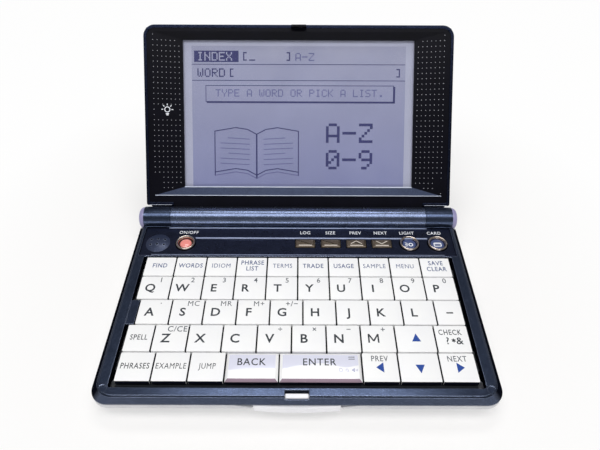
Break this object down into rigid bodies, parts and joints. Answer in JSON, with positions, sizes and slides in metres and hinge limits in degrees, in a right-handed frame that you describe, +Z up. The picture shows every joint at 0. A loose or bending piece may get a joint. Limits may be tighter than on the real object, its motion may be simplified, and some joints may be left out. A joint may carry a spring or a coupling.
{
  "type": "electronic dictionary",
  "caption": "Pocket electronic dictionary, open: keyboard base with sprung keys, friction-hinged lid with framed display, front latch, battery cover and memory card.",
  "frame": {"origin": "on the table, at the middle of the space that the open dictionary takes up in X and Y", "axes": "+Z up; -Y towards the user; +X to the right of the user, along the hinge"},
  "size_m": [0.144, 0.1464, 0.0806],
  "materials": {
    "navy_case": "navy metallic lacquer",
    "black_bezel": "satin black",
    "silver_tray": "pale silver lacquer",
    "silver_latch": "pale silver lacquer",
    "chrome_trim": "bright plated",
    "lavender_cap": "lavender silver lacquer",
    "red_button": "salmon red, satin",
    "slate_button": "slate blue, satin",
    "white_key": "satin white",
    "pearl_key": "pearl lavender",
    "board": "green board",
    "membrane": "dark silicone rubber",
    "rubber_foot": "black rubber",
    "cell": "plain cell can",
    "steel": "plated steel",
    "window": "clear window",
    "lcd": "grey display",
    "card": "black card"
  },
  "bodies": {
    "base": {"lower_case": "silver_tray", "upper_case": "navy_case", "control_panel": "navy_case", "speaker_grille": "navy_case", "button_rings": "chrome_trim", "circuit_board": "board", "key_membrane": "membrane", "batteries": "cell", "case_screws": "steel", "rubber_feet": "rubber_foot", "hinge_pins": "steel", "hinge_caps": "lavender_cap"},
    "lid": {"hinge_barrel": "navy_case", "lid_cover": "navy_case", "lid_bezel": "black_bezel", "display_window": "window", "lcd_panel": "lcd", "lid_hook": "black_bezel"},
    "latch": {"latch_button": "silver_latch"},
    "cover": {"battery_cover": "silver_tray"},
    "card": {"memory_card": "card"},
    "key_q": {"key_q": "white_key"},
    "key_w": {"key_w": "white_key"},
    "key_e": {"key_e": "white_key"},
    "key_r": {"key_r": "white_key"},
    "key_t": {"key_t": "white_key"},
    "key_y": {"key_y": "white_key"},
    "key_u": {"key_u": "white_key"},
    "key_i": {"key_i": "white_key"},
    "key_o": {"key_o": "white_key"},
    "key_p": {"key_p": "white_key"},
    "key_a": {"key_a": "white_key"},
    "key_s": {"key_s": "white_key"},
    "key_d": {"key_d": "white_key"},
    "key_f": {"key_f": "white_key"},
    "key_g": {"key_g": "white_key"},
    "key_h": {"key_h": "white_key"},
    "key_j": {"key_j": "white_key"},
    "key_k": {"key_k": "white_key"},
    "key_l": {"key_l": "white_key"},
    "key_z": {"key_z": "white_key"},
    "key_x": {"key_x": "white_key"},
    "key_c": {"key_c": "white_key"},
    "key_v": {"key_v": "white_key"},
    "key_b": {"key_b": "white_key"},
    "key_n": {"key_n": "white_key"},
    "key_m": {"key_m": "white_key"},
    "key_minus": {"key_minus": "white_key"},
    "arrow_up": {"arrow_up": "white_key"},
    "arrow_left": {"arrow_left": "white_key"},
    "arrow_down": {"arrow_down": "white_key"},
    "arrow_right": {"arrow_right": "white_key"},
    "back_key": {"back_key": "pearl_key"},
    "enter_key": {"enter_key": "pearl_key"},
    "dictionary_keys": {"dictionary_keys": "white_key"},
    "side_keys": {"side_keys": "white_key"},
    "power_button": {"power_button": "red_button"},
    "backlight_button": {"backlight_button": "slate_button"},
    "card_button": {"card_button": "slate_button"},
    "function_buttons": {"function_buttons": "chrome_trim"}
  },
  "joints": [
    {"name": "lid_hinge", "type": "hinge", "parent": "base", "child": "lid", "pos_m": [0, 0.01482, 0.0142], "axis": [-1, 0, 0], "range_deg": [-130, 20]},
    {"name": "latch_rock", "type": "hinge", "parent": "base", "child": "latch", "pos_m": [0, -0.07043, 0.0102], "axis": [1, 0, 0], "range_deg": [0, 8], "stiffness_Nm_per_rad": 0.02},
    {"name": "cover_slide", "type": "slide", "parent": "base", "child": "cover", "axis": [0, 1, 0], "range_m": [0, 0.008]},
    {"name": "card_slide", "type": "slide", "parent": "base", "child": "card", "axis": [1, 0, 0], "range_m": [0, 0.02]},
    {"name": "key_q_press", "type": "slide", "parent": "base", "child": "key_q", "axis": [0, 0, -1], "range_m": [0, 0.001], "stiffness_N_per_m": 200},
    {"name": "key_w_press", "type": "slide", "parent": "base", "child": "key_w", "axis": [0, 0, -1], "range_m": [0, 0.001], "stiffness_N_per_m": 200},
    {"name": "key_e_press", "type": "slide", "parent": "base", "child": "key_e", "axis": [0, 0, -1], "range_m": [0, 0.001], "stiffness_N_per_m": 200},
    {"name": "key_r_press", "type": "slide", "parent": "base", "child": "key_r", "axis": [0, 0, -1], "range_m": [0, 0.001], "stiffness_N_per_m": 200},
    {"name": "key_t_press", "type": "slide", "parent": "base", "child": "key_t", "axis": [0, 0, -1], "range_m": [0, 0.001], "stiffness_N_per_m": 200},
    {"name": "key_y_press", "type": "slide", "parent": "base", "child": "key_y", "axis": [0, 0, -1], "range_m": [0, 0.001], "stiffness_N_per_m": 200},
    {"name": "key_u_press", "type": "slide", "parent": "base", "child": "key_u", "axis": [0, 0, -1], "range_m": [0, 0.001], "stiffness_N_per_m": 200},
    {"name": "key_i_press", "type": "slide", "parent": "base", "child": "key_i", "axis": [0, 0, -1], "range_m": [0, 0.001], "stiffness_N_per_m": 200},
    {"name": "key_o_press", "type": "slide", "parent": "base", "child": "key_o", "axis": [0, 0, -1], "range_m": [0, 0.001], "stiffness_N_per_m": 200},
    {"name": "key_p_press", "type": "slide", "parent": "base", "child": "key_p", "axis": [0, 0, -1], "range_m": [0, 0.001], "stiffness_N_per_m": 200},
    {"name": "key_a_press", "type": "slide", "parent": "base", "child": "key_a", "axis": [0, 0, -1], "range_m": [0, 0.001], "stiffness_N_per_m": 200},
    {"name": "key_s_press", "type": "slide", "parent": "base", "child": "key_s", "axis": [0, 0, -1], "range_m": [0, 0.001], "stiffness_N_per_m": 200},
    {"name": "key_d_press", "type": "slide", "parent": "base", "child": "key_d", "axis": [0, 0, -1], "range_m": [0, 0.001], "stiffness_N_per_m": 200},
    {"name": "key_f_press", "type": "slide", "parent": "base", "child": "key_f", "axis": [0, 0, -1], "range_m": [0, 0.001], "stiffness_N_per_m": 200},
    {"name": "key_g_press", "type": "slide", "parent": "base", "child": "key_g", "axis": [0, 0, -1], "range_m": [0, 0.001], "stiffness_N_per_m": 200},
    {"name": "key_h_press", "type": "slide", "parent": "base", "child": "key_h", "axis": [0, 0, -1], "range_m": [0, 0.001], "stiffness_N_per_m": 200},
    {"name": "key_j_press", "type": "slide", "parent": "base", "child": "key_j", "axis": [0, 0, -1], "range_m": [0, 0.001], "stiffness_N_per_m": 200},
    {"name": "key_k_press", "type": "slide", "parent": "base", "child": "key_k", "axis": [0, 0, -1], "range_m": [0, 0.001], "stiffness_N_per_m": 200},
    {"name": "key_l_press", "type": "slide", "parent": "base", "child": "key_l", "axis": [0, 0, -1], "range_m": [0, 0.001], "stiffness_N_per_m": 200},
    {"name": "key_z_press", "type": "slide", "parent": "base", "child": "key_z", "axis": [0, 0, -1], "range_m": [0, 0.001], "stiffness_N_per_m": 200},
    {"name": "key_x_press", "type": "slide", "parent": "base", "child": "key_x", "axis": [0, 0, -1], "range_m": [0, 0.001], "stiffness_N_per_m": 200},
    {"name": "key_c_press", "type": "slide", "parent": "base", "child": "key_c", "axis": [0, 0, -1], "range_m": [0, 0.001], "stiffness_N_per_m": 200},
    {"name": "key_v_press", "type": "slide", "parent": "base", "child": "key_v", "axis": [0, 0, -1], "range_m": [0, 0.001], "stiffness_N_per_m": 200},
    {"name": "key_b_press", "type": "slide", "parent": "base", "child": "key_b", "axis": [0, 0, -1], "range_m": [0, 0.001], "stiffness_N_per_m": 200},
    {"name": "key_n_press", "type": "slide", "parent": "base", "child": "key_n", "axis": [0, 0, -1], "range_m": [0, 0.001], "stiffness_N_per_m": 200},
    {"name": "key_m_press", "type": "slide", "parent": "base", "child": "key_m", "axis": [0, 0, -1], "range_m": [0, 0.001], "stiffness_N_per_m": 200},
    {"name": "key_minus_press", "type": "slide", "parent": "base", "child": "key_minus", "axis": [0, 0, -1], "range_m": [0, 0.001], "stiffness_N_per_m": 200},
    {"name": "arrow_up_press", "type": "slide", "parent": "base", "child": "arrow_up", "axis": [0, 0, -1], "range_m": [0, 0.001], "stiffness_N_per_m": 200},
    {"name": "arrow_left_press", "type": "slide", "parent": "base", "child": "arrow_left", "axis": [0, 0, -1], "range_m": [0, 0.001], "stiffness_N_per_m": 200},
    {"name": "arrow_down_press", "type": "slide", "parent": "base", "child": "arrow_down", "axis": [0, 0, -1], "range_m": [0, 0.001], "stiffness_N_per_m": 200},
    {"name": "arrow_right_press", "type": "slide", "parent": "base", "child": "arrow_right", "axis": [0, 0, -1], "range_m": [0, 0.001], "stiffness_N_per_m": 200},
    {"name": "back_key_press", "type": "slide", "parent": "base", "child": "back_key", "axis": [0, 0, -1], "range_m": [0, 0.001], "stiffness_N_per_m": 200},
    {"name": "enter_key_press", "type": "slide", "parent": "base", "child": "enter_key", "axis": [0, 0, -1], "range_m": [0, 0.001], "stiffness_N_per_m": 200},
    {"name": "dictionary_keys_press", "type": "slide", "parent": "base", "child": "dictionary_keys", "axis": [0, 0, -1], "range_m": [0, 0.001], "stiffness_N_per_m": 200},
    {"name": "side_keys_press", "type": "slide", "parent": "base", "child": "side_keys", "axis": [0, 0, -1], "range_m": [0, 0.001], "stiffness_N_per_m": 200},
    {"name": "power_button_press", "type": "slide", "parent": "base", "child": "power_button", "axis": [0, 0, -1], "range_m": [0, 0.0005], "stiffness_N_per_m": 300},
    {"name": "backlight_button_press", "type": "slide", "parent": "base", "child": "backlight_button", "axis": [0, 0, -1], "range_m": [0, 0.0005], "stiffness_N_per_m": 300},
    {"name": "card_button_press", "type": "slide", "parent": "base", "child": "card_button", "axis": [0, 0, -1], "range_m": [0, 0.0005], "stiffness_N_per_m": 300},
    {"name": "function_buttons_press", "type": "slide", "parent": "base", "child": "function_buttons", "axis": [0, 0, -1], "range_m": [0, 0.0005], "stiffness_N_per_m": 300}
  ]
}
